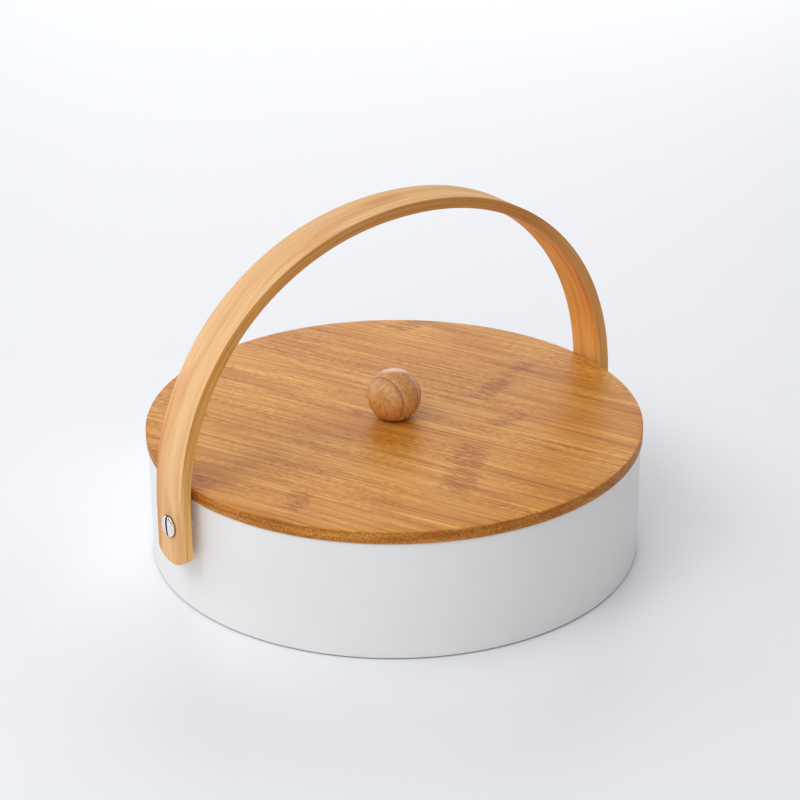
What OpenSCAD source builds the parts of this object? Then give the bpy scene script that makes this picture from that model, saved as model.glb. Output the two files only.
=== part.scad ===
// Chip and dip server: a round white tub with a flat bamboo lid, a ball knob
// and a bent bamboo carrying handle that swings on two slotted pivot screws.
// Inside stand five sector-shaped chip dishes round one dip bowl.
//
// Frame: millimetres, +Z up, origin at the centre of the tub's resting face.
// The handle stands upright over the X axis.

/* [Tub] */
// Outer diameter of the tub
tub_d = 258; // [257:0.5:258.6]
// Height of the tub from the table to the rim
tub_h = 64; // [62:0.5:64]
// Thickness of the coated sheet wall and floor
tub_wall = 1.2; // [1:0.1:1.4]
// Width of the hem folded inwards at the rim
rim_w = 3.2; // [2.4:0.1:3.2]
// Outer corner radius at the bottom edge
tub_edge_r = 1.2; // [0.8:0.1:1.6]
// Height that the middle of the floor is pressed up by
base_rise = 0.8; // [0.4:0.1:1.0]
// Radius of the pressed-up middle
base_r = 112; // [100:1:114]

/* [Lid] */
// Diameter of the bamboo lid
lid_d = 260; // [258:0.5:260]
// Thickness of the lid at its edge
lid_t = 6.6; // [5:0.1:7]
// Rounding of the lid's upper and lower edge
lid_edge_r = 0.8; // [0.4:0.1:1.2]
// Depth of the locating step under the lid
step_h = 4; // [3:0.5:5]
// Radial play of the locating step inside the rim
step_play = 0.8; // [0.5:0.1:1.2]

/* [Knob] */
// Diameter of the ball knob
knob_d = 28.2; // [24:0.2:30]
// Height of the ball's centre above the lid
knob_rise = 12.15; // [9:0.05:12.5]

/* [Handle] */
// Half distance between the two legs, to the middle of the strap
leg_x = 136.7; // [136.5:0.1:137.5]
// Width of the strap
strap_w = 22.8; // [18:0.2:24]
// Thickness of the laminated strap
strap_t = 6; // [5:0.1:6.2]
// Height up to which the legs are straight
leg_top = 58.7; // [56:0.1:62]
// Rise of the arch above the straight legs, to the middle of the strap
arch_rise = 129.9; // [128:0.1:134]
// Fullness of the arch: 2 is an ellipse, more is squarer
arch_power = 2.1; // [2.05:0.01:2.2]
// Height of the lowest point of the rounded strap end
strap_end = 29.6; // [26:0.2:32]
// Radius of the rounded strap end
strap_end_r = 16.6; // [14:0.2:20]

/* [Pivots] */
// Height of the pivot screws above the table
pivot_z = 50.5; // [49:0.5:51]
// Outer diameter of the pivot post's barrel
post_d = 5; // [4:0.1:5]
// Radial clearance of the strap on the barrel
post_play = 0.08; // [0.05:0.01:0.1]
// Diameter of the collars between the legs and the tub
spacer_d = 8.6; // [7:0.2:10]
// Diameter of the slotted screw head
head_d = 11.8; // [9:0.2:12]
// Thickness of the slotted screw head
head_t = 1.7; // [1.4:0.1:2]

/* [Dishes] */
// Number of chip dishes round the dip bowl
dish_n = 5; // [5:1:5]
// Height of the dishes and the dip bowl
dish_h = 42; // [36:1:44]
// Wall thickness of the glazed dishes
dish_wall = 3.2; // [2.8:0.1:3.6]
// Gap between neighbouring dishes
dish_gap = 2.4; // [2:0.2:4]
// Outer radius of the ring of dishes
dish_ro = 124.3; // [122:0.1:124.4]
// Outer radius of the dip bowl
bowl_r = 44.5; // [42:0.5:45]

/* [Hidden] */
tub_r = tub_d / 2;
rim_ri = tub_r - rim_w;                 // inner radius of the folded rim
wall_ri = tub_r - tub_wall;             // inner radius of the wall
lid_z0 = tub_h;                         // underside of the lid's edge
lid_z1 = tub_h + lid_t;                 // top of the lid
step_r = rim_ri - step_play;
leg_in = leg_x - strap_t / 2;           // inner face of each leg
leg_out = leg_x + strap_t / 2;          // outer face of each leg
post_end = leg_out + 0.3;               // the screw head clamps the post here
bore_d = post_d + 2 * post_play;
dish_ri = bowl_r + 2;                   // inner radius of the ring of dishes
floor_z = tub_wall + base_rise;         // the dishes stand on the pressed-up middle

// points of an arc about (cx, cy) from angle a0 to a1
function arc(cx, cy, r, a0, a1, n) =
    [for (i = [0 : n]) let (a = a0 + (a1 - a0) * i / n) [cx + r * cos(a), cy + r * sin(a)]];

// signed power, used by the arch
function spow(v, p) = v < 0 ? -pow(-v, p) : pow(v, p);

// middle line of the arch and its outward normal at parameter t
function arch_pt(t) = [leg_x * spow(cos(t), 2 / arch_power),
                       leg_top + arch_rise * pow(sin(t), 2 / arch_power)];
function arch_nrm(t) =
    let (nx = spow(cos(t), 2 - 2 / arch_power) / leg_x,
         nz = pow(sin(t), 2 - 2 / arch_power) / arch_rise,
         l = sqrt(nx * nx + nz * nz))
    [nx / l, nz / l];
function arch_off(d, t0, t1, n) =
    [for (i = [0 : n]) let (t = t0 + (t1 - t0) * i / n) arch_pt(t) + d * arch_nrm(t)];

// rounded outline of one dish: a sector between two radii, set back from the
// radial lines by g, with corner radii ro_c at the rim side and ri_c inside
function dish_outline(ri, ro, g, ro_c, ri_c, half) =
    let (ao = half - asin((g + ro_c) / (ro - ro_c)),
         ai = half - asin((g + ri_c) / (ri + ri_c)))
    concat(
        arc(0, 0, ro, -ao, ao, 28),
        [for (p = arc((ro - ro_c) * cos(ao), (ro - ro_c) * sin(ao), ro_c, ao, half + 90, 8)) p],
        [for (p = arc((ri + ri_c) * cos(ai), (ri + ri_c) * sin(ai), ri_c, half + 90, ai + 180, 6)) p],
        arc(0, 0, ri, ai, -ai, 12),
        [for (p = arc((ri + ri_c) * cos(ai), -(ri + ri_c) * sin(ai), ri_c, 180 - ai, 270 - half, 6)) p],
        [for (p = arc((ro - ro_c) * cos(ao), -(ro - ro_c) * sin(ao), ro_c, -half - 90, -ao, 8)) p]);

// deep round tub of coated sheet, hemmed inwards at the rim, with its floor
// pressed up in the middle and two holes for the pivot posts
module serving_tub() {
    color([0.93, 0.93, 0.93])
    difference() {
        rotate_extrude($fn = 180)
            polygon(concat(
                [[0, base_rise], [base_r - 2, base_rise], [base_r, 0]],
                arc(tub_r - tub_edge_r, tub_edge_r, tub_edge_r, -90, 0, 6),
                arc(tub_r - 1.4, tub_h - 1.4, 1.4, 0, 90, 6),
                arc(rim_ri + 1.2, tub_h - 1.2, 1.2, 90, 180, 6),
                [[rim_ri, tub_h - 3.2], [wall_ri, tub_h - 3.2 - (rim_w - tub_wall)]],
                arc(wall_ri - 2.4, tub_wall + 2.4, 2.4, 0, -90, 6),
                [[base_r + 0.6, tub_wall], [base_r - 1.4, floor_z], [0, floor_z]]));
        for (s = [-1, 1])
            translate([s * (tub_r - 4), 0, pivot_z]) rotate([0, 90, 0])
                cylinder(h = 12, r = post_d / 2 + 0.05, center = true, $fn = 48);
    }
}

// one pivot post: a flat head inside the tub and a tapped barrel outwards
module post() {
    rotate([0, 90, 0]) difference() {
        union() {
            translate([0, 0, wall_ri - 1.6]) cylinder(h = 1.4, d = 12, $fn = 64);
            translate([0, 0, wall_ri - 0.3]) cylinder(h = post_end - wall_ri + 0.3, d = post_d, $fn = 48);
        }
        translate([0, 0, post_end - 8.6]) cylinder(h = 9, d = 3.6, $fn = 40);
    }
}
module pivot_posts() {
    color([0.75, 0.75, 0.77]) for (a = [0, 180]) translate([0, 0, pivot_z]) rotate([0, 0, a]) post();
}

// collars that hold the legs off the tub
module pivot_spacers() {
    color([0.9, 0.9, 0.9]) for (a = [0, 180]) translate([0, 0, pivot_z]) rotate([0, 0, a])
        rotate([0, 90, 0]) translate([0, 0, tub_r + 0.05]) difference() {
            cylinder(h = leg_in - 0.15 - tub_r - 0.05, d = spacer_d, $fn = 64);
            translate([0, 0, -1]) cylinder(h = 12, d = post_d + 0.1, $fn = 48);
        }
}

// slotted screws with a bevelled flat head
module screw() {
    rotate([0, 90, 0]) difference() {
        union() {
            translate([0, 0, post_end]) rotate_extrude($fn = 96)
                polygon([[0, 0], [head_d / 2 - 0.35, 0], [head_d / 2, 0.35], [head_d / 2, head_t - 0.8],
                         [head_d / 2 - 1.3, head_t], [0, head_t]]);
            translate([0, 0, post_end - 7.5]) cylinder(h = 7.8, d = 3.5, $fn = 40);
        }
        translate([0, 0, post_end + head_t]) cube([head_d + 2, 1.2, 2 * 0.9], center = true);
    }
}
module pivot_screws() {
    color([0.82, 0.82, 0.84]) for (a = [0, 180]) translate([0, 0, pivot_z]) rotate([0, 0, a]) screw();
}

// bent laminated strap: two straight legs and one arch, with rounded ends
module handle_strap() {
    d = strap_t / 2;
    n = 96;
    end_c = strap_end + strap_end_r;
    color([0.86, 0.68, 0.43])
    difference() {
        rotate([90, 0, 0]) linear_extrude(height = strap_w, center = true)
            polygon(concat(
                [[leg_out, strap_end - 1]],
                arch_off(d, 0, 180, n),
                [[-leg_out, strap_end - 1], [-leg_in, strap_end - 1]],
                arch_off(-d, 180, 0, n),
                [[leg_in, strap_end - 1]]));
        // both ends rounded across the width
        for (s = [-1, 1]) translate([s * leg_x, 0, 0]) rotate([90, 0, 90])
            linear_extrude(height = strap_t + 2, center = true)
                polygon(concat([[-strap_w, strap_end - 3], [strap_w, strap_end - 3], [strap_w, end_c - 10]],
                    arc(0, end_c, strap_end_r, -acos((strap_w + 2) / 2 / strap_end_r), -180 + acos((strap_w + 2) / 2 / strap_end_r), 28),
                    [[-strap_w, end_c - 10]]));
        // running bores on the pivot posts
        for (s = [-1, 1]) translate([s * leg_x, 0, pivot_z]) rotate([0, 90, 0])
            cylinder(h = strap_t + 4, d = bore_d, center = true, $fn = 64);
    }
}

// flat bamboo lid with a locating step below and a countersunk centre hole
module lid_board() {
    r = lid_d / 2;
    e = lid_edge_r;
    color([0.75, 0.54, 0.33])
    difference() {
        rotate_extrude($fn = 180)
            polygon(concat(
                [[0, lid_z0 - step_h]],
                [[step_r - 0.8, lid_z0 - step_h], [step_r, lid_z0 - step_h + 0.8], [step_r, lid_z0]],
                arc(r - e, lid_z0 + e, e, -90, 0, 5),
                arc(r - e, lid_z1 - e, e, 0, 90, 5),
                [[0, lid_z1]]));
        translate([0, 0, lid_z0 - step_h - 1]) cylinder(h = lid_t + step_h + 2, d = 4.1, $fn = 48);
        translate([0, 0, lid_z0 - step_h - 0.01]) cylinder(h = 0.4, d = 8.4, $fn = 48);
        translate([0, 0, lid_z0 - step_h + 0.39]) cylinder(h = 2.2, d1 = 8.4, d2 = 4, $fn = 48);
    }
}

// turned ball, ground flat where it sits on the lid
module lid_knob() {
    zc = lid_z1 + knob_rise;
    r = knob_d / 2;
    a = asin(knob_rise / r);
    color([0.78, 0.58, 0.40])
    difference() {
        rotate_extrude($fn = 96)
            polygon(concat([[0, lid_z1]], arc(0, zc, r, -a, 90, 36)));
        translate([0, 0, lid_z1 - 1]) cylinder(h = 15, d = 4.1, $fn = 48);
    }
}

// countersunk screw from below, through the lid into the knob
module knob_screw() {
    z = lid_z0 - step_h + 0.34;
    color([0.7, 0.7, 0.72])
    difference() {
        union() {
            translate([0, 0, z]) cylinder(h = 2.15, d1 = 8.2, d2 = 4, $fn = 48);
            translate([0, 0, z + 2]) cylinder(h = 21, d = 4, $fn = 48);
        }
        translate([0, 0, z]) cube([5, 0.9, 2.4], center = true);
        translate([0, 0, z]) cube([0.9, 5, 2.4], center = true);
    }
}

// round dip bowl on a foot ring
module dip_bowl() {
    w = dish_wall;
    z0 = floor_z;
    z1 = floor_z + dish_h;
    r = bowl_r;
    color([0.96, 0.95, 0.93])
    rotate_extrude($fn = 120)
        polygon(concat(
            [[0, z0 + 2], [r - 20, z0 + 2], [r - 19, z0], [r - 15.5, z0], [r - 14.5, z0 + 2]],
            arc(r - 14, z0 + 16, 14, -88, 0, 10),
            arc(r - w / 2, z1 - w / 2, w / 2, 0, 180, 8),
            arc(r - w - 12, z0 + 17, 12, 0, -90, 10),
            [[0, z0 + 5]]));
}

// one chip dish, standing on the tub's floor at the given angle
module dish(a) {
    w = dish_wall;
    half = 180 / dish_n;
    z0 = floor_z;
    z1 = floor_z + dish_h;
    color([0.96, 0.95, 0.93])
    rotate([0, 0, a]) difference() {
        union() {
            // body, and a foot set in from it
            translate([0, 0, z0 + 3]) linear_extrude(height = dish_h - 3)
                polygon(dish_outline(dish_ri, dish_ro, dish_gap / 2, 14, 9, half));
            translate([0, 0, z0]) linear_extrude(height = 4)
                polygon(dish_outline(dish_ri + 2.5, dish_ro - 2.5, dish_gap / 2 + 2.5, 11.5, 6.5, half));
        }
        // cavity, smaller at its floor
        translate([0, 0, z0 + w + 4]) linear_extrude(height = dish_h)
            polygon(dish_outline(dish_ri + w, dish_ro - w, dish_gap / 2 + w, 14 - w, 9 - w, half));
        translate([0, 0, z0 + w]) linear_extrude(height = 5)
            polygon(dish_outline(dish_ri + w + 2.5, dish_ro - w - 2.5, dish_gap / 2 + w + 2.5, 11.5 - w, 6.5 - w, half));
    }
}
// the ring is turned so that the pivot posts face the middle of a dish on one
// side and a gap on the other
module chip_dish_1() dish(0);
module chip_dish_2() dish(72);
module chip_dish_3() dish(144);
module chip_dish_4() dish(216);
module chip_dish_5() dish(288);

serving_tub();
pivot_posts();
pivot_spacers();
pivot_screws();
handle_strap();
lid_board();
lid_knob();
knob_screw();
dip_bowl();
chip_dish_1();
chip_dish_2();
chip_dish_3();
chip_dish_4();
chip_dish_5();
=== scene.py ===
import math

import bmesh
import bpy
import numpy as np
from mathutils import Matrix, Vector


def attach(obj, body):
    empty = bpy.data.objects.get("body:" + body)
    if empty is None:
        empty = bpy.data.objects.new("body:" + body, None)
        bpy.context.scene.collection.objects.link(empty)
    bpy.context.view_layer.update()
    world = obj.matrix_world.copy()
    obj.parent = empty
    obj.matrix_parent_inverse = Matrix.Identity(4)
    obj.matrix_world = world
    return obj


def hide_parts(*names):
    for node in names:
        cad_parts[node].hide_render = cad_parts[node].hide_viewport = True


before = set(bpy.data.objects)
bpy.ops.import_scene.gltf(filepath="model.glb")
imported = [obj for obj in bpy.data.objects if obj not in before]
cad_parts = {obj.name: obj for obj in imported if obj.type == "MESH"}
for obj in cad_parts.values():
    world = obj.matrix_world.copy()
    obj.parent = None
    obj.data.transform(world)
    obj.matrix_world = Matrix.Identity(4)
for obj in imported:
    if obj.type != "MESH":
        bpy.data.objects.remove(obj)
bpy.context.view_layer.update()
MM = 0.001

# ---------------------------------------------------------------- sizes (mm), as in the CAD frame
TUB_R, TUB_H, WALL, RIM_RI = 129.0, 64.0, 1.2, 125.8
LID_R, LID_Z0, LID_Z1, STEP_R, STEP_H = 130.0, 64.0, 70.6, 125.0, 4.0
KNOB_R, KNOB_ZC = 14.1, 70.6 + 12.15
LEG_X, LEG_TOP, RISE, POWER = 136.7, 58.7, 129.9, 2.1
STRAP_W, STRAP_T, STRAP_END, STRAP_END_R = 22.8, 6.0, 29.6, 16.6
PIVOT_Z, HEAD_D, HEAD_T = 50.5, 11.8, 1.7
POST_END = LEG_X + STRAP_T / 2 + 0.3
DISH_RI, DISH_RO, GAP, DISH_W, DISH_Z0, DISH_Z1 = 46.5, 124.3, 2.4, 3.2, 2.0, 44.0
BASE_R, BASE_RISE = 112.0, 0.8
BOWL_R = 44.5


# ================================================================= mesh helpers
def make_object(name, verts, faces, smooth=True):
    me = bpy.data.meshes.new(name)
    me.from_pydata([tuple(v) for v in verts], [], [tuple(f) for f in faces])
    me.validate()
    me.update()
    ob = bpy.data.objects.new(name, me)
    bpy.context.scene.collection.objects.link(ob)
    bm = bmesh.new()
    bm.from_mesh(me)
    bmesh.ops.recalc_face_normals(bm, faces=bm.faces)
    bm.to_mesh(me)
    bm.free()
    if smooth:
        me.polygons.foreach_set("use_smooth", [True] * len(me.polygons))
    return ob


def lathe(name, profile, seg=256, axis="z", origin=(0, 0, 0), smooth=True):
    """A closed solid turned from a profile of (radius, height) in mm that starts and ends on the axis."""
    verts, faces, rings = [], [], []
    for r, z in profile:
        if r < 1e-6:
            rings.append([len(verts)])
            verts.append((0.0, 0.0, z))
        else:
            ring = []
            for i in range(seg):
                a = 2 * math.pi * i / seg
                ring.append(len(verts))
                verts.append((r * math.cos(a), r * math.sin(a), z))
            rings.append(ring)
    for a, b in zip(rings[:-1], rings[1:]):
        if len(a) == 1 and len(b) == 1:
            continue
        for i in range(seg):
            j = (i + 1) % seg
            if len(a) == 1:
                faces.append((a[0], b[i], b[j]))
            elif len(b) == 1:
                faces.append((a[i], a[j], b[0]))
            else:
                faces.append((a[i], a[j], b[j], b[i]))
    v = np.array(verts)
    if axis == "x":  # height runs outwards along +X
        v = np.stack([v[:, 2], v[:, 0], v[:, 1]], 1)
    elif axis == "-x":
        v = np.stack([-v[:, 2], -v[:, 0], v[:, 1]], 1)
    v = (v + np.array(origin)) * MM
    return make_object(name, v, faces, smooth)


def arc(cx, cy, r, a0, a1, n):
    return [(cx + r * math.cos(math.radians(a0 + (a1 - a0) * i / n)),
             cy + r * math.sin(math.radians(a0 + (a1 - a0) * i / n))) for i in range(n + 1)]


def sharpen(ob, degrees=35.0):
    """Smooth shading that keeps real corners crisp."""
    bm = bmesh.new()
    bm.from_mesh(ob.data)
    lim = math.radians(degrees)
    for e in bm.edges:
        if len(e.link_faces) == 2 and e.calc_face_angle(0.0) > lim:
            e.smooth = False
    bm.to_mesh(ob.data)
    bm.free()


# ================================================================= shader helpers
def srgb(r, g, b, k=1.0):
    def lin(c):
        c = c / 255.0
        return c / 12.92 if c <= 0.04045 else ((c + 0.055) / 1.055) ** 2.4
    return (lin(r) * k, lin(g) * k, lin(b) * k, 1.0)


class Mat:
    def __init__(self, name):
        self.m = bpy.data.materials.new(name)
        self.m.use_nodes = True
        self.t = self.m.node_tree
        self.t.nodes.clear()
        self.out = self.t.nodes.new("ShaderNodeOutputMaterial")
        self.b = self.t.nodes.new("ShaderNodeBsdfPrincipled")
        self.t.links.new(self.b.outputs[0], self.out.inputs[0])

    def n(self, kind, **kw):
        node = self.t.nodes.new(kind)
        for k, v in kw.items():
            setattr(node, k, v)
        return node

    def put(self, socket, value):
        if isinstance(value, bpy.types.NodeSocket):
            self.t.links.new(value, socket)
        elif value is not None:
            socket.default_value = value

    def math(self, op, a, b=None, c=None, clamp=False):
        n = self.n("ShaderNodeMath", operation=op, use_clamp=clamp)
        self.put(n.inputs[0], a)
        if b is not None:
            self.put(n.inputs[1], b)
        if c is not None:
            self.put(n.inputs[2], c)
        return n.outputs[0]

    def coords(self):
        n = self.n("ShaderNodeTexCoord")
        s = self.n("ShaderNodeVectorMath", operation="SCALE")
        self.put(s.inputs[0], n.outputs["Object"])
        s.inputs["Scale"].default_value = 1000.0
        x = self.n("ShaderNodeSeparateXYZ")
        self.put(x.inputs[0], s.outputs[0])
        return s.outputs[0], x.outputs[0], x.outputs[1], x.outputs[2]

    def vec(self, x, y, z):
        n = self.n("ShaderNodeCombineXYZ")
        for i, v in enumerate((x, y, z)):
            self.put(n.inputs[i], v)
        return n.outputs[0]

    def noise(self, vec, scale=1.0, detail=2.0, rough=0.5, dist=0.0, out=0):
        n = self.n("ShaderNodeTexNoise")
        self.put(n.inputs["Vector"], vec)
        n.inputs["Scale"].default_value = scale
        n.inputs["Detail"].default_value = detail
        n.inputs["Roughness"].default_value = rough
        n.inputs["Distortion"].default_value = dist
        return n.outputs[out]

    def voronoi(self, vec, scale=1.0, rand=1.0, feature="F1"):
        n = self.n("ShaderNodeTexVoronoi", feature=feature)
        self.put(n.inputs["Vector"], vec)
        n.inputs["Scale"].default_value = scale
        n.inputs["Randomness"].default_value = rand
        return n.outputs

    def white(self, value):
        n = self.n("ShaderNodeTexWhiteNoise", noise_dimensions="1D")
        self.put(n.inputs["W"], value)
        return n.outputs["Value"]

    def ramp(self, fac, stops, interp="LINEAR"):
        n = self.n("ShaderNodeValToRGB")
        n.color_ramp.interpolation = interp
        e = n.color_ramp.elements
        while len(e) < len(stops):
            e.new(0.5)
        for el, (p, c) in zip(e, stops):
            el.position = p
            el.color = c if len(c) == 4 else (*c, 1.0)
        self.put(n.inputs[0], fac)
        return n.outputs[0]

    def remap(self, v, a, b, c=0.0, d=1.0, smooth=True):
        n = self.n("ShaderNodeMapRange", interpolation_type="SMOOTHSTEP" if smooth else "LINEAR")
        n.clamp = True
        self.put(n.inputs[0], v)
        for i, val in zip((1, 2, 3, 4), (a, b, c, d)):
            self.put(n.inputs[i], val)
        return n.outputs[0]

    def mix(self, fac, a, b, blend="MIX"):
        n = self.n("ShaderNodeMix", data_type="RGBA", blend_type=blend)
        n.clamp_factor = True
        self.put(n.inputs[0], fac)
        self.put(n.inputs[6], a)
        self.put(n.inputs[7], b)
        return n.outputs[2]

    def bump(self, height, strength=0.3, distance=0.0002, normal=None):
        n = self.n("ShaderNodeBump")
        n.inputs["Strength"].default_value = strength
        n.inputs["Distance"].default_value = distance
        self.put(n.inputs["Height"], height)
        if normal is not None:
            self.put(n.inputs["Normal"], normal)
        return n.outputs[0]

    def set(self, **kw):
        names = {"color": "Base Color", "rough": "Roughness", "metal": "Metallic", "normal": "Normal",
                 "coat": "Coat Weight", "coat_rough": "Coat Roughness", "spec": "Specular IOR Level",
                 "ior": "IOR", "aniso": "Anisotropic", "sss": "Subsurface Weight", "coat_normal": "Coat Normal"}
        for k, v in kw.items():
            self.put(self.b.inputs[names[k]], v)
        return self.m


# ================================================================= materials
GRAIN = math.radians(-67.5)  # direction of the lid's strips in the X-Y plane
GC, GS = math.cos(GRAIN), math.sin(GRAIN)
# edges between the lid's strips, measured across the grain
STRIPS = (-112.0, -96.0, -67.0, -34.5, -3.0, 14.5, 38.5, 72.5, 98.0, 116.0)
# a lighter or darker tone for each strip, front to back
STRIP_TONES = (-0.02, -0.03, 0.01, 0.03, -0.01, 0.03, 0.05, -0.03, 0.0, 0.02, 0.03)
# culm nodes: place along the grain, strip edges, slope, half width, strength
NODES = ((27.3, 72.5, 97.0, 0.09, 7.0, 0.85), (27.2, 39.5, 71.5, 0.06, 9.5, 0.80), (53.0, 15.2, 38.0, 0.33, 8.5, 0.78),
         (56.0, -34.2, -9.0, -0.34, 13.5, 1.0), (67.0, -62.5, -35.0, -0.26, 13.5, 1.0), (-54.0, 98.5, 124.0, 0.39, 9.0, 0.95),
         (-18.5, -12.0, -3.2, 0.0, 5.5, 0.55), (-92.0, -66.0, -46.0, 0.2, 8.0, 0.7), (8.0, -118.0, -97.0, -0.15, 9.0, 0.8))


def lid_material():
    k = Mat("lid_bamboo")
    _, x, y, z = k.coords()
    u = k.math("ADD", k.math("MULTIPLY", x, GC), k.math("MULTIPLY", y, GS))
    v = k.math("ADD", k.math("MULTIPLY", x, -GS), k.math("MULTIPLY", y, GC))
    # glued strips: a step at every edge carries the strip's number and tone
    idx = seam = None
    tone0 = STRIP_TONES[0]
    for i, e in enumerate(STRIPS):
        step = k.math("GREATER_THAN", v, e)
        idx = step if idx is None else k.math("ADD", idx, step)
        tone0 = k.math("ADD", k.math("MULTIPLY", step, STRIP_TONES[i + 1] - STRIP_TONES[i]), tone0)
        line = k.remap(k.math("ABSOLUTE", k.math("SUBTRACT", v, e)), 0.05, 0.42, 1.0, 0.0)
        seam = line if seam is None else k.math("MAXIMUM", seam, line)
    r2 = k.white(k.math("ADD", idx, 17.7))
    uo = k.math("ADD", u, k.math("MULTIPLY", r2, 311.0))
    zz = k.math("MULTIPLY", z, 1.0)
    # fibres wander a little across the strip
    wav = k.noise(k.vec(k.math("MULTIPLY", uo, 0.011), k.math("MULTIPLY", v, 0.03), 0.0), 1.0, 2.0, 0.5)
    vw = k.math("ADD", v, k.math("MULTIPLY", k.math("SUBTRACT", wav, 0.5), 3.4))
    # vessels and fibre bundles: short dashes, longer fibres, long streaks, broad bands
    a1 = k.noise(k.vec(k.math("MULTIPLY", uo, 0.36), k.math("MULTIPLY", vw, 0.85), k.math("MULTIPLY", zz, 0.9)), 1.0, 0.0, 0.50)
    a2 = k.noise(k.vec(k.math("MULTIPLY", uo, 0.014), k.math("MULTIPLY", vw, 0.46), k.math("MULTIPLY", zz, 0.4)), 1.0, 3.0, 0.66)
    a3 = k.noise(k.vec(k.math("MULTIPLY", uo, 0.008), k.math("MULTIPLY", vw, 0.11), k.math("MULTIPLY", zz, 0.1)), 1.0, 2.0, 0.5)
    a5 = k.noise(k.vec(k.math("MULTIPLY", uo, 0.022), k.math("MULTIPLY", vw, 0.95), k.math("MULTIPLY", zz, 0.6)), 1.0, 1.0, 0.55)
    a4 = k.noise(k.vec(k.math("MULTIPLY", u, 0.016), k.math("MULTIPLY", v, 0.022), 9.0), 1.0, 1.0, 0.5)
    # some strips are cut so that the vessels show more
    amp = k.remap(k.noise(k.vec(k.math("MULTIPLY", uo, 0.010), k.math("MULTIPLY", v, 0.035), 1.0), 1.0, 1.0, 0.5), 0.40, 0.62, 0.35, 1.25)
    tone = k.math("ADD", tone0, 0.5)
    for n, w in ((a1, k.math("MULTIPLY", amp, 0.30)), (a2, 0.74), (a3, 0.40), (a4, 0.20), (a5, 0.50)):
        tone = k.math("ADD", tone, k.math("MULTIPLY", k.math("SUBTRACT", n, 0.5), w))
    col = k.ramp(tone, ((0.12, srgb(146, 76, 20)), (0.34, srgb(185, 114, 42)), (0.50, srgb(203, 137, 57)),
                        (0.66, srgb(218, 160, 76)), (0.88, srgb(234, 186, 104))))
    # slow drift towards a redder brown
    drift = k.noise(k.vec(k.math("MULTIPLY", uo, 0.010), k.math("MULTIPLY", v, 0.05), 0.0), 1.0, 1.0, 0.5)
    col = k.mix(k.remap(drift, 0.48, 0.74, 0.0, 0.45), col, k.mix(1.0, col, (0.90, 0.80, 0.74, 1.0), "MULTIPLY"))
    # culm nodes: crowded dark dashes over a browner patch
    mask = None
    for u0, v0, v1, slope, half, strength in NODES:
        mid = k.math("MULTIPLY_ADD", k.math("SUBTRACT", v, (v0 + v1) / 2), slope, u0)
        bend = k.noise(k.vec(k.math("MULTIPLY", v, 0.16), u0, 0.0), 1.0, 2.0, 0.6)
        mid = k.math("ADD", mid, k.math("MULTIPLY", k.math("SUBTRACT", bend, 0.5), 10.0))
        du = k.math("ABSOLUTE", k.math("SUBTRACT", u, mid))
        one = k.remap(du, 0.5, half, strength, 0.0)
        one = k.math("MULTIPLY", one, k.math("MULTIPLY", k.remap(v, v0, v0 + 2.0, 0.0, 1.0), k.remap(v, v1 - 2.0, v1, 1.0, 0.0)))
        mask = one if mask is None else k.math("MAXIMUM", mask, one)
    n1 = k.noise(k.vec(k.math("MULTIPLY", u, 0.17), k.math("MULTIPLY", v, 0.80), zz), 1.0, 2.0, 0.66)
    dash = k.remap(k.math("ADD", n1, k.math("MULTIPLY", mask, 0.07)), 0.535, 0.565, 0.0, 1.0)
    dash = k.math("MULTIPLY", dash, k.remap(mask, 0.02, 0.36, 0.0, 1.0))
    col = k.mix(k.math("MULTIPLY", mask, 0.32), col, k.mix(1.0, col, (0.84, 0.64, 0.46, 1.0), "MULTIPLY"))
    col = k.mix(k.math("MULTIPLY", dash, 0.56), col, srgb(142, 74, 24))
    # glue lines, stronger in places
    br = k.noise(k.vec(k.math("MULTIPLY", u, 0.02), k.math("MULTIPLY", idx, 3.1), 5.0), 1.0, 1.0, 0.5)
    col = k.mix(k.math("MULTIPLY", seam, k.remap(br, 0.42, 0.60, 0.06, 0.42)), col, srgb(122, 70, 34))
    # cut fibre ends on the rim: dotted and browner
    tc = k.n("ShaderNodeTexCoord")
    sep = k.n("ShaderNodeSeparateXYZ")
    k.put(sep.inputs[0], tc.outputs["Normal"])
    side = k.remap(k.math("ABSOLUTE", sep.outputs[2]), 0.35, 0.80, 1.0, 0.0)
    dots = k.noise(k.vec(k.math("MULTIPLY", u, 1.0), k.math("MULTIPLY", v, 1.2), k.math("MULTIPLY", z, 1.2)), 1.0, 2.0, 0.7)
    lay = k.noise(k.vec(k.math("MULTIPLY", u, 0.03), k.math("MULTIPLY", v, 0.06), k.math("MULTIPLY", z, 0.5)), 1.0, 2.0, 0.5)
    ecol = k.ramp(k.math("ADD", k.math("MULTIPLY", dots, 0.62), k.math("MULTIPLY", lay, 0.38)),
                  ((0.32, srgb(120, 64, 18)), (0.50, srgb(179, 111, 44)), (0.68, srgb(224, 158, 80))))
    col = k.mix(side, col, ecol)
    # painted contact shading round the knob's seat
    seat = k.math("SQRT", k.math("ADD", k.math("MULTIPLY", x, x), k.math("MULTIPLY", y, y)))
    col = k.mix(k.remap(seat, 7.2, 9.0, 0.45, 0.0), col, srgb(96, 54, 24))
    h = k.math("ADD", k.math("MULTIPLY", a2, 0.6), k.math("MULTIPLY", a1, 0.5))
    h = k.math("SUBTRACT", h, k.math("MULTIPLY", dash, 0.25))
    h = k.math("SUBTRACT", h, k.math("MULTIPLY", seam, 0.3))
    rough = k.remap(a1, 0.3, 0.7, 0.46, 0.38, smooth=False)
    return k.set(color=col, rough=rough, spec=0.10, normal=k.bump(h, 0.20, 0.00010))


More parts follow.
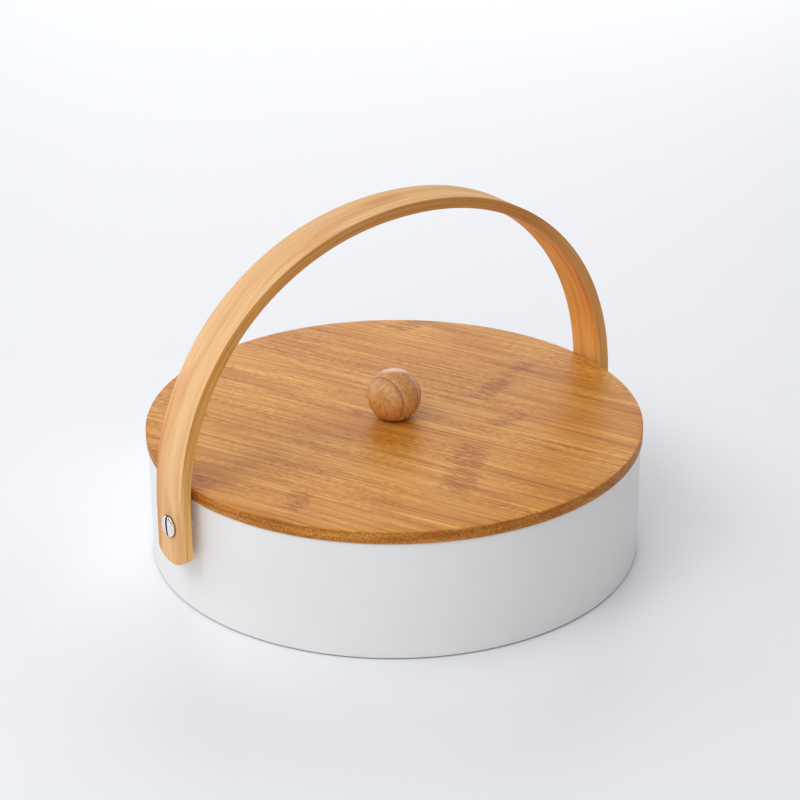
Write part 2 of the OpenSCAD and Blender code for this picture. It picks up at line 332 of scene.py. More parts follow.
def strap_material():
    """Bent laminated strap: grain along its length, plies and glue lines on the edges."""
    k = Mat("strap_bamboo")
    at = k.n("ShaderNodeAttribute", attribute_name="grain")
    sep = k.n("ShaderNodeSeparateXYZ")
    k.put(sep.inputs[0], at.outputs["Vector"])
    s, y, d = sep.outputs[0], sep.outputs[1], sep.outputs[2]
    ply = k.math("FLOOR", k.math("DIVIDE", k.math("ADD", d, 3.0), 2.0))
    so = k.math("ADD", s, k.math("MULTIPLY", ply, 137.0))
    wav = k.noise(k.vec(k.math("MULTIPLY", so, 0.010), k.math("MULTIPLY", y, 0.03), ply), 1.0, 2.0, 0.5)
    yw = k.math("ADD", y, k.math("MULTIPLY", k.math("SUBTRACT", wav, 0.5), 17.0))
    # soft flowing figure and fine fibres
    g0 = k.noise(k.vec(k.math("MULTIPLY", so, 0.0075), k.math("MULTIPLY", yw, 0.115), 2.0), 1.0, 2.0, 0.5)
    g1 = k.noise(k.vec(k.math("MULTIPLY", so, 0.008), k.math("MULTIPLY", yw, 0.42), k.math("MULTIPLY", d, 0.25)), 1.0, 2.0, 0.6)
    g2 = k.noise(k.vec(k.math("MULTIPLY", so, 0.035), k.math("MULTIPLY", yw, 1.5), k.math("MULTIPLY", d, 1.2)), 1.0, 2.0, 0.65)
    tone = k.math("ADD", k.math("ADD", k.math("MULTIPLY", g1, 0.42), k.math("MULTIPLY", g2, 0.45)), 0.085)
    col = k.ramp(tone, ((0.30, srgb(215, 162, 108)), (0.45, srgb(227, 180, 127)), (0.56, srgb(234, 190, 140)),
                        (0.70, srgb(240, 201, 153))))
    col = k.mix(k.remap(g0, 0.47, 0.66, 0.0, 0.55), col, k.mix(1.0, col, (0.88, 0.72, 0.64, 1.0), "MULTIPLY"))
    g3 = k.noise(k.vec(k.math("MULTIPLY", so, 0.011), k.math("MULTIPLY", yw, 0.075), 6.0), 1.0, 1.0, 0.5)
    col = k.mix(k.remap(g3, 0.515, 0.61, 0.0, 0.70), col, k.mix(1.0, col, (0.89, 0.73, 0.62, 1.0), "MULTIPLY"))
    # painted shade: the crown's outer face, which faces up, a shade darker
    crown_shade = k.math("MULTIPLY", k.remap(s, 130.0, 190.0, 0.0, 1.0), k.remap(s, 225.0, 285.0, 1.0, 0.0))
    col = k.mix(crown_shade, col, k.mix(1.0, col, (0.94, 0.91, 0.74, 1.0), "MULTIPLY"))
    # fine pores
    p = k.noise(k.vec(k.math("MULTIPLY", s, 0.20), k.math("MULTIPLY", y, 2.4), k.math("MULTIPLY", d, 2.4)), 1.0, 1.0, 0.5)
    pore = k.remap(p, 0.60, 0.72, 0.0, 1.0)
    col = k.mix(k.math("MULTIPLY", pore, 0.16), col, srgb(182, 124, 72))
    # the concave face is a deeper orange
    inner = k.remap(d, -2.2, -2.9, 0.0, 1.0)
    col = k.mix(k.math("MULTIPLY", inner, 0.62), col, k.mix(1.0, col, (1.22, 0.94, 0.27, 1.0), "MULTIPLY"))
    g4 = k.noise(k.vec(k.math("MULTIPLY", s, 0.014), k.math("MULTIPLY", yw, 0.30), 11.0), 1.0, 2.0, 0.55)
    col = k.mix(k.math("MULTIPLY", k.remap(g4, 0.50, 0.60, 0.0, 0.75), inner), col, k.mix(1.0, col, (0.80, 0.70, 0.62, 1.0), "MULTIPLY"))
    # long edges: plies with glue lines between them
    side = k.remap(k.math("ABSOLUTE", y), STRAP_W / 2 - 0.20, STRAP_W / 2 - 0.06, 0.0, 1.0)
    dw = k.math("ADD", d, k.math("MULTIPLY", k.math("SUBTRACT", wav, 0.5), 0.5))
    glue = k.math("MULTIPLY", k.remap(k.math("ABSOLUTE", k.math("SUBTRACT", k.math("ABSOLUTE", dw), 1.15)), 0.06, 0.34, 1.0, 0.0), side)
    e1 = k.noise(k.vec(k.math("MULTIPLY", s, 0.014), k.math("MULTIPLY", dw, 0.9), k.math("MULTIPLY", ply, 5.0)), 1.0, 3.0, 0.65)
    ecol = k.ramp(e1, ((0.30, srgb(212, 154, 84)), (0.50, srgb(240, 188, 114)), (0.68, srgb(250, 210, 140))))
    ecol = k.mix(k.remap(s, 250.0, 60.0, 0.0, 1.0), ecol, k.mix(1.0, ecol, (0.86, 0.72, 0.62, 1.0), "MULTIPLY"))
    # edge tint along the length, matched by colour samples
    tint = k.ramp(k.math("DIVIDE", s, 481.0), ((0.10, (1.0, 1.0, 1.0)), (0.16, (0.95, 0.88, 0.90)), (0.235, (0.88, 0.80, 0.78)),
                                                (0.33, (0.70, 0.53, 0.43)), (0.42, (0.70, 0.53, 0.42)), (0.54, (0.73, 0.57, 0.49)),
                                                (0.64, (0.79, 0.63, 0.54)), (0.77, (0.87, 0.69, 0.51)), (0.845, (0.90, 0.74, 0.54)),
                                                (0.92, (1.0, 1.0, 1.0))))
    ecol = k.mix(1.0, ecol, tint, "MULTIPLY")
    col = k.mix(k.math("MULTIPLY", side, 0.95), col, ecol)
    e3 = k.noise(k.vec(k.math("MULTIPLY", s, 0.012), ply, 8.0), 1.0, 1.0, 0.5)
    col = k.mix(k.math("MULTIPLY", glue, k.remap(e3, 0.35, 0.65, 0.03, 0.24)), col, srgb(140, 88, 42))
    # painted contact shading round the screw head
    leg = k.math("SUBTRACT", k.math("MINIMUM", s, k.math("SUBTRACT", 481.0, s)), PIVOT_Z - STRAP_END)
    ring = k.math("SQRT", k.math("ADD", k.math("MULTIPLY", leg, leg), k.math("MULTIPLY", y, y)))
    col = k.mix(k.math("MULTIPLY", k.remap(ring, 5.5, 6.5, 0.62, 0.0), k.remap(d, 2.0, 2.8, 0.0, 1.0)), col, srgb(120, 72, 34))
    h = k.math("ADD", k.math("MULTIPLY", g2, 0.5), k.math("MULTIPLY", g1, 0.4))
    h = k.math("SUBTRACT", h, k.math("MULTIPLY", pore, 0.3))
    h = k.math("SUBTRACT", h, k.math("MULTIPLY", glue, 0.7))
    return k.set(color=col, rough=k.remap(g2, 0.3, 0.7, 0.58, 0.50, smooth=False), spec=0.05,
                 normal=k.bump(h, 0.18, 0.00010))


def knob_material():
    k = Mat("knob_wood")
    p, x, y, z = k.coords()
    # growth rings in steep planes; vessels run along a slanted axis
    zc = k.math("SUBTRACT", z, KNOB_ZC)

    def along(ax, ay, az):
        return k.math("ADD", k.math("ADD", k.math("MULTIPLY", x, ax), k.math("MULTIPLY", y, ay)), k.math("MULTIPLY", zc, az))

    ring = along(0.976, 0.215, 0.012)
    w = k.noise(k.vec(k.math("MULTIPLY", x, 0.07), k.math("MULTIPLY", y, 0.07), k.math("MULTIPLY", z, 0.05)), 1.0, 2.0, 0.5)
    ring = k.math("ADD", ring, k.math("MULTIPLY", k.math("SUBTRACT", w, 0.5), 2.4))
    ph = k.math("FRACT", k.math("DIVIDE", k.math("ADD", ring, 46.9), 10.1))
    # pale earlywood just past the line, darkening slowly to the next line
    col = k.ramp(ph, ((0.0, srgb(238, 190, 124)), (0.10, srgb(234, 182, 112)), (0.20, srgb(224, 162, 84)),
                      (0.60, srgb(226, 166, 88)), (0.86, srgb(217, 152, 76)), (1.0, srgb(152, 82, 34))))
    al = along(-0.484, -0.398, 0.779)
    b1 = along(0.635, -0.772, 0.0)
    b2 = along(0.601, 0.495, 0.627)
    f = k.noise(k.vec(k.math("MULTIPLY", b1, 1.05), k.math("MULTIPLY", b2, 1.05), k.math("MULTIPLY", al, 0.14)), 1.0, 2.0, 0.6)
    fleck = k.remap(f, 0.55, 0.64, 0.0, 1.0)
    col = k.mix(k.math("MULTIPLY", fleck, 0.44), col, srgb(138, 70, 28))
    g = k.noise(k.vec(k.math("MULTIPLY", b1, 0.75), k.math("MULTIPLY", b2, 0.75), k.math("MULTIPLY", al, 0.06)), 1.0, 3.0, 0.65)
    col = k.mix(k.remap(g, 0.42, 0.64, 0.0, 0.62), col, srgb(180, 108, 46))
    g2 = k.noise(k.vec(k.math("MULTIPLY", x, 0.9), k.math("MULTIPLY", y, 0.9), k.math("MULTIPLY", z, 0.5)), 1.0, 2.0, 0.6)
    col = k.mix(k.remap(g2, 0.40, 0.60, 0.0, 0.22), col, srgb(226, 176, 130))
    # painted contact shading where the ball sits on the lid
    col = k.mix(k.remap(z, LID_Z1 + 0.4, LID_Z1 + 1.3, 0.75, 0.0), col, srgb(84, 48, 22))
    h = k.math("SUBTRACT", k.math("MULTIPLY", g, 0.3), fleck)
    return k.set(color=col, rough=0.50, spec=0.55, coat=0.60, coat_rough=0.28, normal=k.bump(h, 0.20, 0.00012))


def powder_coat():
    k = Mat("white_coat")
    p, x, y, z = k.coords()
    a = k.noise(p, 1.1, 3.0, 0.55)
    b = k.noise(p, 0.02, 2.0, 0.5)
    c = k.noise(p, 3.2, 2.0, 0.6)
    col = k.mix(k.remap(b, 0.35, 0.65, 0.0, 1.0), srgb(233, 233, 232), srgb(235, 235, 235))
    # painted contact shading round the foot
    col = k.mix(k.remap(z, 0.28, 1.00, 0.82, 0.0), col, srgb(92, 80, 68))
    rough = k.remap(a, 0.3, 0.7, 0.43, 0.48, smooth=False)
    h = k.math("ADD", a, k.math("MULTIPLY", c, 0.5))
    return k.set(color=col, rough=rough, spec=0.4, normal=k.bump(h, 0.05, 0.00003))


def chrome(name="chrome_steel", rough=0.06, tint=(240, 239, 238)):
    k = Mat(name)
    p, x, y, z = k.coords()
    a = k.noise(k.vec(k.math("MULTIPLY", x, 4.0), k.math("MULTIPLY", y, 1.2), k.math("MULTIPLY", z, 1.2)), 1.0, 3.0, 0.6)
    b = k.noise(p, 0.8, 2.0, 0.5)
    col = k.mix(k.remap(b, 0.4, 0.7, 0.0, 0.5), srgb(*tint), srgb(tint[0] - 14, tint[1] - 14, tint[2] - 12))
    # painted shading in the driver slot
    ax = k.math("ABSOLUTE", x)
    tilt = k.math("MULTIPLY", k.math("SIGN", x), 0.07)
    across = k.math("ADD", y, k.math("MULTIPLY", k.math("SUBTRACT", z, PIVOT_Z), tilt))
    slot = k.math("MULTIPLY", k.remap(k.math("ABSOLUTE", across), 0.76, 0.80, 1.0, 0.0), k.remap(ax, POST_END + 0.10, POST_END + 0.16, 0.0, 1.0))
    col = k.mix(k.math("MULTIPLY", slot, 0.85), col, srgb(78, 64, 52))
    return k.set(color=col, metal=1.0, rough=k.remap(a, 0.3, 0.7, rough, rough + 0.06, smooth=False),
                 normal=k.bump(a, 0.05, 0.00005))


def nylon():
    k = Mat("white_nylon")
    p, x, y, z = k.coords()
    a = k.noise(p, 1.4, 3.0, 0.6)
    col = k.mix(k.remap(a, 0.35, 0.65), srgb(228, 227, 222), srgb(238, 237, 232))
    return k.set(color=col, rough=0.5, spec=0.4, normal=k.bump(a, 0.08, 0.00006))


def stoneware():
    k = Mat("stoneware")
    p, x, y, z = k.coords()
    a = k.noise(p, 0.045, 3.0, 0.5)
    b = k.noise(p, 0.35, 2.0, 0.5)
    sp = k.voronoi(p, 0.42)
    speck = k.remap(sp["Distance"], 0.03, 0.07, 1.0, 0.0)
    col = k.mix(k.remap(a, 0.35, 0.65), srgb(238, 236, 230), srgb(245, 243, 239))
    col = k.mix(k.math("MULTIPLY", speck, 0.10), col, srgb(196, 184, 166))
    # unglazed foot
    foot = k.remap(z, DISH_Z0 + 0.35, DISH_Z0 + 0.9, 1.0, 0.0)
    g = k.noise(p, 2.8, 3.0, 0.6)
    col = k.mix(foot, col, k.mix(g, srgb(206, 192, 170), srgb(222, 210, 190)))
    rough = k.math("ADD", k.math("MULTIPLY", foot, 0.55), k.remap(b, 0.3, 0.7, 0.13, 0.20, smooth=False))
    h = k.math("ADD", k.math("MULTIPLY", b, 0.6), k.math("MULTIPLY", k.math("MULTIPLY", g, foot), 0.5))
    return k.set(color=col, rough=rough, spec=0.5, coat=0.5, coat_rough=0.06, normal=k.bump(h, 0.08, 0.0002))


def floor_material():
    k = Mat("pale_table")
    p, x, y, z = k.coords()
    a = k.noise(p, 0.006, 2.0, 0.5)
    col = k.mix(a, srgb(236, 238, 243), srgb(241, 243, 247))
    return k.set(color=col, rough=0.55, spec=0.25)


M_LID, M_STRAP, M_KNOB = lid_material(), strap_material(), knob_material()
M_TUB, M_CHROME, M_NYLON, M_STONE = powder_coat(), chrome(), nylon(), stoneware()
M_ZINC = chrome("zinc_steel", 0.22, (196, 196, 192))


def finish_piece(ob, mat, body, nodes):
    ob.data.materials.clear()
    ob.data.materials.append(mat)
    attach(ob, body)
    if nodes:
        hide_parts(*nodes)
    return ob


# ================================================================= tub
e = 1.2
prof = [(0, BASE_RISE)] + [(r, BASE_RISE) for r in (40, 80, 104)]
prof += [(BASE_R - 2.6, BASE_RISE), (BASE_R - 2.0, BASE_RISE - 0.06), (BASE_R - 1.4, BASE_RISE * 0.72), (BASE_R - 0.6, BASE_RISE * 0.24), (BASE_R - 0.1, 0.03), (BASE_R + 0.6, 0), (120, 0)]
prof += arc(TUB_R - e, e, e, -90, 0, 6)
prof += [(TUB_R, z) for z in (3, 20, 40, 58)] + arc(TUB_R - 1.4, TUB_H - 1.4, 1.4, 0, 90, 7)
prof += arc(RIM_RI + 1.2, TUB_H - 1.2, 1.2, 90, 180, 6)
prof += [(RIM_RI, TUB_H - 3.0)] + arc(RIM_RI + 0.9, TUB_H - 3.2, 0.9, 180, 230, 3)
prof += [(127.8, 58.2), (127.8, 40), (127.8, 12)] + arc(127.8 - 2.4, WALL + 2.4, 2.4, 0, -90, 6)
prof += [(BASE_R + 1.4, WALL), (BASE_R + 0.4, WALL + 0.06), (BASE_R - 1.2, WALL + BASE_RISE - 0.06), (BASE_R - 2.0, WALL + BASE_RISE)]
prof += [(r, WALL + BASE_RISE) for r in (90, 45)] + [(0, WALL + BASE_RISE)]
tub = lathe("tub_shell", prof, 320)
sharpen(tub, 50)
finish_piece(tub, M_TUB, "tub", ["serving_tub"])

# ================================================================= lid board
e = 0.8
z_under = LID_Z0 - STEP_H
prof = [(2.05, LID_Z0), (2.05, z_under + 2.7), (4.25, z_under + 0.4), (4.25, z_under + 0.05)]
prof += [(4.35, z_under), (40, z_under), (90, z_under)] + arc(STEP_R - 0.8, z_under + 0.8, 0.8, -90, 0, 4)
prof += [(STEP_R, LID_Z0 - 0.2), (STEP_R + 0.2, LID_Z0)] + arc(LID_R - e, LID_Z0 + e, e, -90, 0, 6)
prof += [(LID_R, 66.5), (LID_R, 68.5)] + arc(LID_R - e, LID_Z1 - e, e, 0, 90, 6)
prof += [(r, LID_Z1) for r in (124, 110, 90, 60, 30, 10)] + [(2.05, LID_Z1)]


def lathe_ring(name, profile, seg):
    """A closed solid turned from a profile that doesn't touch the axis: it has a hole."""
    verts, faces = [], []
    n = len(profile)
    for r, z in profile:
        for i in range(seg):
            a = 2 * math.pi * i / seg
            verts.append((r * math.cos(a) * MM, r * math.sin(a) * MM, z * MM))
    for p in range(n):
        q = (p + 1) % n
        for i in range(seg):
            j = (i + 1) % seg
            faces.append((p * seg + i, p * seg + j, q * seg + j, q * seg + i))
    return make_object(name, verts, faces)


lid = lathe_ring("lid_bamboo_board", prof, 320)
sharpen(lid, 35)
finish_piece(lid, M_LID, "lid", ["lid_board"])

# ================================================================= knob
a0 = math.degrees(math.asin((KNOB_ZC - LID_Z1) / KNOB_R))
prof = [(0, LID_Z1 + 0.02), (4, LID_Z1 + 0.02)] + arc(0, KNOB_ZC, KNOB_R, -a0 + 0.4, 90, 72)
prof[-1] = (0, prof[-1][1])
knob = lathe("knob_ball", prof, 144)
sharpen(knob, 35)
finish_piece(knob, M_KNOB, "lid", ["lid_knob"])


# ================================================================= handle strap
def spow(v, p):
    return math.copysign(abs(v) ** p, v)


def centre_line():
    pts = [(LEG_X, z) for z in np.linspace(STRAP_END, LEG_TOP, 40, endpoint=False)]
    for t in np.linspace(0, 180, 1441):
        c, s = math.cos(math.radians(t)), max(0.0, math.sin(math.radians(t)))
        pts.append((LEG_X * spow(c, 2 / POWER), LEG_TOP + RISE * s ** (2 / POWER)))
    pts += [(-LEG_X, z) for z in np.linspace(LEG_TOP, STRAP_END, 41)[1:]]
    P = np.array(pts)
    keep = np.r_[True, np.hypot(*np.diff(P, axis=0).T) > 1e-4]
    P = P[keep]
    L = np.r_[0, np.cumsum(np.hypot(*np.diff(P, axis=0).T))]
    return P, L


CP, CL = centre_line()
S_MAX = CL[-1]
_s = np.linspace(0, S_MAX, 4001)
_x, _z = np.interp(_s, CL, CP[:, 0]), np.interp(_s, CL, CP[:, 1])
_tx, _tz = np.gradient(_x, _s), np.gradient(_z, _s)
ker = np.hanning(41)
ker /= ker.sum()
_tx = np.convolve(np.r_[np.full(20, _tx[5]), _tx, np.full(20, _tx[-6])], ker, "valid")
_tz = np.convolve(np.r_[np.full(20, _tz[5]), _tz, np.full(20, _tz[-6])], ker, "valid")
_l = np.hypot(_tx, _tz)
_nx, _nz = _tz / _l, -_tx / _l  # outward on the +X leg


def strap_point(s, y, d):
    x, z = np.interp(s, _s, _x), np.interp(s, _s, _z)
    nx, nz = np.interp(s, _s, _nx), np.interp(s, _s, _nz)
    return (x + nx * d, y, z + nz * d)


def build_strap():
    ev, hw, ht = 0.3, STRAP_W / 2, STRAP_T / 2
    cols, rows, steps = 24, 264, 5
    sag = lambda y: STRAP_END_R - math.sqrt(STRAP_END_R ** 2 - y * y) + 0.15 * max(0.0, abs(y) - 8.0) ** 2  # rounded end, eased corners
    n_end = 10
    grid = []
    ss = list(np.linspace(0, S_MAX, rows + 1))
    for i, s in enumerate(ss):
        row = []
        for j in range(cols + 1):
            t = -1 + 2 * j / cols
            y = (hw - ev) * t
            si = s
            k = min(i, rows - i)
            if k <= n_end:
                lim = ss[n_end]
                e0 = sag(y) + ev
                q = k / n_end
                v = e0 + (lim - e0) * q
                si = v if i <= rows / 2 else S_MAX - v
            row.append((si, y))
        grid.append(row)
    verts, gc, index = [], [], {}

    def add(s, y, d):
        verts.append(strap_point(s, y, d))
        gc.append((s, y, d))
        return len(verts) - 1

    top = [[add(s, y, ht) for s, y in row] for row in grid]
    bot = [[add(s, y, -ht) for s, y in row] for row in grid]
    faces = []
    for G, flip in ((top, False), (bot, True)):
        for i in range(rows):
            for j in range(cols):
                f = (G[i][j], G[i][j + 1], G[i + 1][j + 1], G[i + 1][j])
                faces.append(f[::-1] if flip else f)
    # boundary loop, in order
    loop = [(0, j) for j in range(cols)] + [(i, cols) for i in range(rows)] + [(rows, j) for j in range(cols, 0, -1)] + [(i, 0) for i in range(rows, 0, -1)]
    m = len(loop)
    pos = [grid[i][j] for i, j in loop]
    nrm = []
    for q in range(m):
        a, b, c = pos[q - 1], pos[q], pos[(q + 1) % m]
        e1 = (b[0] - a[0], b[1] - a[1])
        e2 = (c[0] - b[0], c[1] - b[1])
        l1, l2 = math.hypot(*e1), math.hypot(*e2)
        t1 = (e1[0] / l1 + e2[0] / l2, e1[1] / l1 + e2[1] / l2)
        l = math.hypot(*t1)
        t1 = (t1[0] / l, t1[1] / l)
        nrm.append((-t1[1], t1[0]))
    # make the normals point outwards
    ms, my = S_MAX / 2, 0.0
    q0 = m // 3
    if (pos[q0][0] - ms) * nrm[q0][0] * 0.001 + (pos[q0][1] - my) * nrm[q0][1] < 0:
        nrm = [(-a, -b) for a, b in nrm]
    prev = [top[i][j] for i, j in loop]
    profile = [(ev * math.sin(a), ht - ev * (1 - math.cos(a))) for a in np.linspace(0, math.pi / 2, steps + 1)[1:]]
    profile += [(ev, ht / 3), (ev, -ht / 3)]
    profile += [(ev * math.cos(a), -ht + ev * (1 - math.sin(a))) for a in np.linspace(0, math.pi / 2, steps + 1)[:-1]]
    for out, d in profile:
        ring = []
        for q in range(m):
            s, y = pos[q][0] + nrm[q][0] * out, pos[q][1] + nrm[q][1] * out
            y = max(-hw, min(hw, y))
            # beyond the ends the middle line is simply continued downwards
            sc = min(max(s, 0.0), S_MAX)
            p = strap_point(sc, y, d)
            if s < 0:
                p = (p[0], p[1], p[2] + s)
            elif s > S_MAX:
                p = (p[0], p[1], p[2] - (s - S_MAX))
            verts.append(p)
            gc.append((s, y, d))
            ring.append(len(verts) - 1)
        for q in range(m):
            r = (q + 1) % m
            faces.append((prev[q], ring[q], ring[r], prev[r]))
        prev = ring
    last = [bot[i][j] for i, j in loop]
    for q in range(m):
        r = (q + 1) % m
        faces.append((prev[q], last[q], last[r], prev[r]))
    ob = make_object("handle_bentwood", np.array(verts) * MM, faces)
    at = ob.data.attributes.new("grain", "FLOAT_VECTOR", "POINT")
    at.data.foreach_set("vector", np.array(gc, np.float32).ravel())
    return ob


strap = build_strap()
finish_piece(strap, M_STRAP, "handle", ["handle_strap"])


# ================================================================= pivot screws
def screw(name, sign):
    r, t, x0 = HEAD_D / 2 - 0.4, HEAD_T, POST_END
    prof = [(0, x0 - 7.5), (1.6, x0 - 7.5), (1.75, x0 - 7.3), (1.75, x0), (r - 0.35, x0)]
    prof += [(r - 0.08, x0 + 0.06), (r, x0 + 0.2), (r, x0 + 0.62), (r - 0.10, x0 + 0.84), (r - 0.30, x0 + 1.0)]
    prof += [(r - 0.62, x0 + 1.16), (r - 1.2, x0 + 1.36), (3.4, x0 + 1.53), (2.4, x0 + 1.63), (1.2, x0 + 1.685), (0, x0 + t)]
    ob = lathe(name, prof, 128, axis="x" if sign > 0 else "-x", origin=(0, 0, PIVOT_Z))
    # driver slot, cut straight across the head
    bm = bmesh.new()
    bmesh.ops.create_cube(bm, size=1.0)
    for v in bm.verts:
        v.co = Vector((v.co.x * 1.8 * MM, v.co.y * (HEAD_D + 2) * MM, v.co.z * 1.5 * MM))
    bmesh.ops.bevel(bm, geom=[e for e in bm.edges if abs(e.verts[0].co.y - e.verts[1].co.y) > 1e-3 and sign * e.verts[0].co.x < 0],
                    offset=0.12 * MM, segments=2, affect="EDGES")
    me = bpy.data.meshes.new(name + "_cut")
    bm.to_mesh(me)
    bm.free()
    cut = bpy.data.objects.new(name + "_cut", me)
    bpy.context.scene.collection.objects.link(cut)
    cut.matrix_world = Matrix.Translation((sign * (x0 + t) * MM, 0, PIVOT_Z * MM)) @ Matrix.Rotation(math.radians(90 + 4 * sign), 4, "X")
    mod = ob.modifiers.new("slot", "BOOLEAN")
    mod.operation, mod.object, mod.solver = "DIFFERENCE", cut, "EXACT"
    bpy.context.view_layer.update()
    dg = bpy.context.evaluated_depsgraph_get()
    new = bpy.data.meshes.new_from_object(ob.evaluated_get(dg))
    ob.modifiers.clear()
    ob.data = new
    bpy.data.objects.remove(cut)
    ob.data.polygons.foreach_set("use_smooth", [True] * len(ob.data.polygons))
    sharpen(ob, 30)
    return ob


finish_piece(screw("pivot_screw_right", 1), M_CHROME, "tub", ["pivot_screws"])
finish_piece(screw("pivot_screw_left", -1), M_CHROME, "tub", [])


# ================================================================= dishes and bowl
def outline(ri, ro, g, c_out, c_in, half, n1=48, n2=10, n3=24, n4=8):
    c_out, c_in = max(c_out, 0.3), max(c_in, 0.3)
    ao = half - math.degrees(math.asin((g + c_out) / (ro - c_out)))
    ai = half - math.degrees(math.asin((g + c_in) / (ri + c_in)))
    R = math.radians
    p = arc(0, 0, ro, -ao, ao, n1)
    p += arc((ro - c_out) * math.cos(R(ao)), (ro - c_out) * math.sin(R(ao)), c_out, ao, half + 90, n2)
    p += arc((ri + c_in) * math.cos(R(ai)), (ri + c_in) * math.sin(R(ai)), c_in, half + 90, ai + 180, n4)
    p += arc(0, 0, ri, ai, -ai, n3)
    p += arc((ri + c_in) * math.cos(R(ai)), -(ri + c_in) * math.sin(R(ai)), c_in, 180 - ai, 270 - half, n4)
    p += arc((ro - c_out) * math.cos(R(ao)), -(ro - c_out) * math.sin(R(ao)), c_out, -half - 90, -ao, n2)
    return p


def dish(name, angle):
    w, z0, z1 = DISH_W, DISH_Z0, DISH_Z1
    prof = []  # (inset, z) from the foot up the outside, over the rim and down the inside
    prof += [(9.5, z0 + 1.0), (6.4, z0 + 1.0), (6.0, z0 + 0.7), (5.7, z0 + 0.05), (3.9, z0), (3.3, z0 + 0.1), (3.0, z0 + 0.6), (2.9, z0 + 2.6)]
    prof += [(i + 0.15, z + z0 + 3.25) for i, z in arc(2.9, 2.6, 2.75, 270, 180, 7)]
    prof += [(0.1, z0 + 12), (0.05, z0 + 26), (0.0, z1 - 4.0)]
    prof += [(w / 2 - (w / 2) * math.cos(a), z1 - w / 2 + (w / 2) * math.sin(a)) for a in np.linspace(0, math.pi, 11)]
    prof += [(w, z1 - 4.0), (w + 0.05, z0 + 26)]
    prof += [(w + 7.6 - 7.5 * math.cos(math.radians(a)), z0 + w + 8.0 - 7.8 * math.sin(math.radians(a))) for a in (0, 12, 24, 36, 48, 60, 72, 84, 90)]
    prof += [(w + 12.0, z0 + w + 0.1), (w + 18.0, z0 + w + 0.05)]
    rings, verts, faces = [], [], []
    ca, sa = math.cos(math.radians(angle)), math.sin(math.radians(angle))
    for inset, z in prof:
        o = outline(DISH_RI + inset, DISH_RO - inset, GAP / 2 + inset, 14 - inset, 9 - inset, 36.0)
        ring = []
        for px, py in o:
            ring.append(len(verts))
            verts.append(((px * ca - py * sa) * MM, (px * sa + py * ca) * MM, z * MM))
        rings.append(ring)
    n = len(rings[0])
    for a, b in zip(rings[:-1], rings[1:]):
        for i in range(n):
            j = (i + 1) % n
            faces.append((a[i], a[j], b[j], b[i]))
    me = bpy.data.meshes.new(name)
    me.from_pydata(verts, [], faces)
    bm = bmesh.new()
    bm.from_mesh(me)
    bmesh.ops.remove_doubles(bm, verts=bm.verts, dist=1e-6)
    bm.edges.ensure_lookup_table()
    open_edges = [e for e in bm.edges if e.is_boundary]
    bmesh.ops.holes_fill(bm, edges=open_edges, sides=0)
    bmesh.ops.triangulate(bm, faces=[f for f in bm.faces if len(f.verts) > 4])
    bmesh.ops.recalc_face_normals(bm, faces=bm.faces)
    bm.to_mesh(me)
    bm.free()
    ob = bpy.data.objects.new(name, me)
    bpy.context.scene.collection.objects.link(ob)
    me.polygons.foreach_set("use_smooth", [True] * len(me.polygons))
    sharpen(ob, 50)
    return ob


for q in range(5):
    finish_piece(dish(f"sector_dish_{q + 1}", 72 * q), M_STONE, f"dish_{q + 1}", [f"chip_dish_{q + 1}"])

r, z0, z1, w = BOWL_R, DISH_Z0, DISH_Z1, DISH_W
prof = [(0, z0 + 2.0), (r - 20.4, z0 + 2.0), (r - 19.8, z0 + 1.6), (r - 19.2, z0 + 0.2), (r - 18.6, z0), (r - 16.0, z0), (r - 15.5, z0 + 0.2), (r - 15.0, z0 + 1.6)]
prof += arc(r - 14, z0 + 16, 14, -84, 0, 22) + [(r, z0 + 26)]
prof += arc(r - w / 2, z1 - w / 2, w / 2, 0, 180, 12) + [(r - w, z0 + 26)]
prof += arc(r - w - 12, z0 + 17, 12, 0, -90, 18) + [(16, z0 + 5.0), (6, z0 + 5.0), (0, z0 + 5.0)]
bowl = lathe("dip_bowl_round", prof, 192)
sharpen(bowl, 50)
finish_piece(bowl, M_STONE, "bowl", ["dip_bowl"])

# ================================================================= CAD nodes that stay, with their own finish
for node, mat in (("pivot_posts", M_CHROME), ("pivot_spacers", M_NYLON), ("knob_screw", M_ZINC)):
    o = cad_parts[node]
    o.data.materials.clear()
    o.data.materials.append(mat)
    for poly in o.data.polygons:
        poly.material_index = 0

# ================================================================= stage
bpy.ops.mesh.primitive_plane_add(size=1.0, location=(0, 0, -0.00005))
floor = bpy.context.object
floor.name = "table_top"
floor.scale = (14, 14, 1)
floor.data.materials.append(floor_material())

world = bpy.data.worlds.new("studio")
bpy.context.scene.world = world
world.use_nodes = True
bg = world.node_tree.nodes["Background"]
bg.inputs[0].default_value = (1.0, 1.0, 1.0, 1.0)
bg.inputs[1].default_value = 0.14


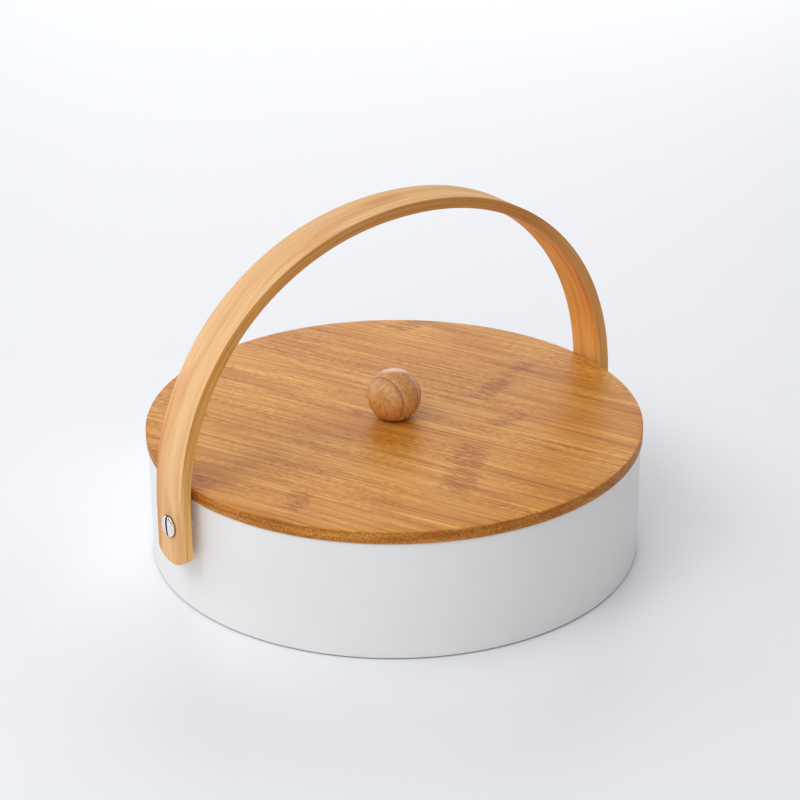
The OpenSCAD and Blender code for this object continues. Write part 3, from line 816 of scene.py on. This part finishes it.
def area(name, loc, target, size, power, color=(1, 1, 1), size_y=None):
    li = bpy.data.lights.new(name, "AREA")
    li.energy, li.color, li.size = power, color, size
    if size_y:
        li.shape, li.size_y = "RECTANGLE", size_y
    ob = bpy.data.objects.new(name, li)
    bpy.context.scene.collection.objects.link(ob)
    ob.location = loc
    ob.rotation_euler = (Vector(target) - Vector(loc)).to_track_quat("-Z", "Y").to_euler()
    return ob


# ================================================================= camera
CAM = Vector((-0.682038, -0.912113, 0.607358))
RIGHT = Vector((0.7980856, -0.6025289, -0.0042740))
UP = Vector((0.2563288, 0.3330863, 0.9073859))
FWD = Vector((0.5453026, 0.7252671, -0.4202769))
cam_data = bpy.data.cameras.new("camera")
cam = bpy.data.objects.new("camera", cam_data)
bpy.context.scene.collection.objects.link(cam)
cam.matrix_world = Matrix.Translation(CAM) @ Matrix((RIGHT, UP, -FWD)).transposed().to_4x4()
cam_data.sensor_width = 36.0
cam_data.lens = 2400.0 / 800.0 * 36.0
cam_data.clip_end = 50.0
bpy.context.scene.camera = cam

# a bright room: broad soft lights all round, stronger from the left and from behind the camera
left = -Vector((RIGHT.x, RIGHT.y, 0)).normalized()
toward = -Vector((FWD.x, FWD.y, 0)).normalized()


def around(name, azimuth, elevation, power, size=1.3, dist=2.1, color=(1, 1, 1)):
    """Azimuth is measured from the left of the view round towards the camera."""
    a, h = math.radians(azimuth), math.radians(elevation)
    way = (left * math.cos(a) + toward * math.sin(a)) * math.cos(h) + Vector((0, 0, math.sin(h)))
    return area(name, way * dist, (0, 0, 0.03), size, power, color)


around("window_left", -25, 22, 14.8, 1.8, color=(0.98, 0.99, 1.0))
around("window_left_high", 25, 50, 10.5)
around("room_back", -90, 22, 14.1)
around("room_back_right", -140, 22, 9.2)
around("room_front", 90, 22, 9.6)
around("room_front_high", 55, 50, 10.4)
around("ceiling", 90, 88, 6.7, 1.5)

vs = bpy.context.scene.view_settings
vs.view_transform = "Standard"
vs.look = "None"
vs.exposure = 0.0
vs.gamma = 1.0
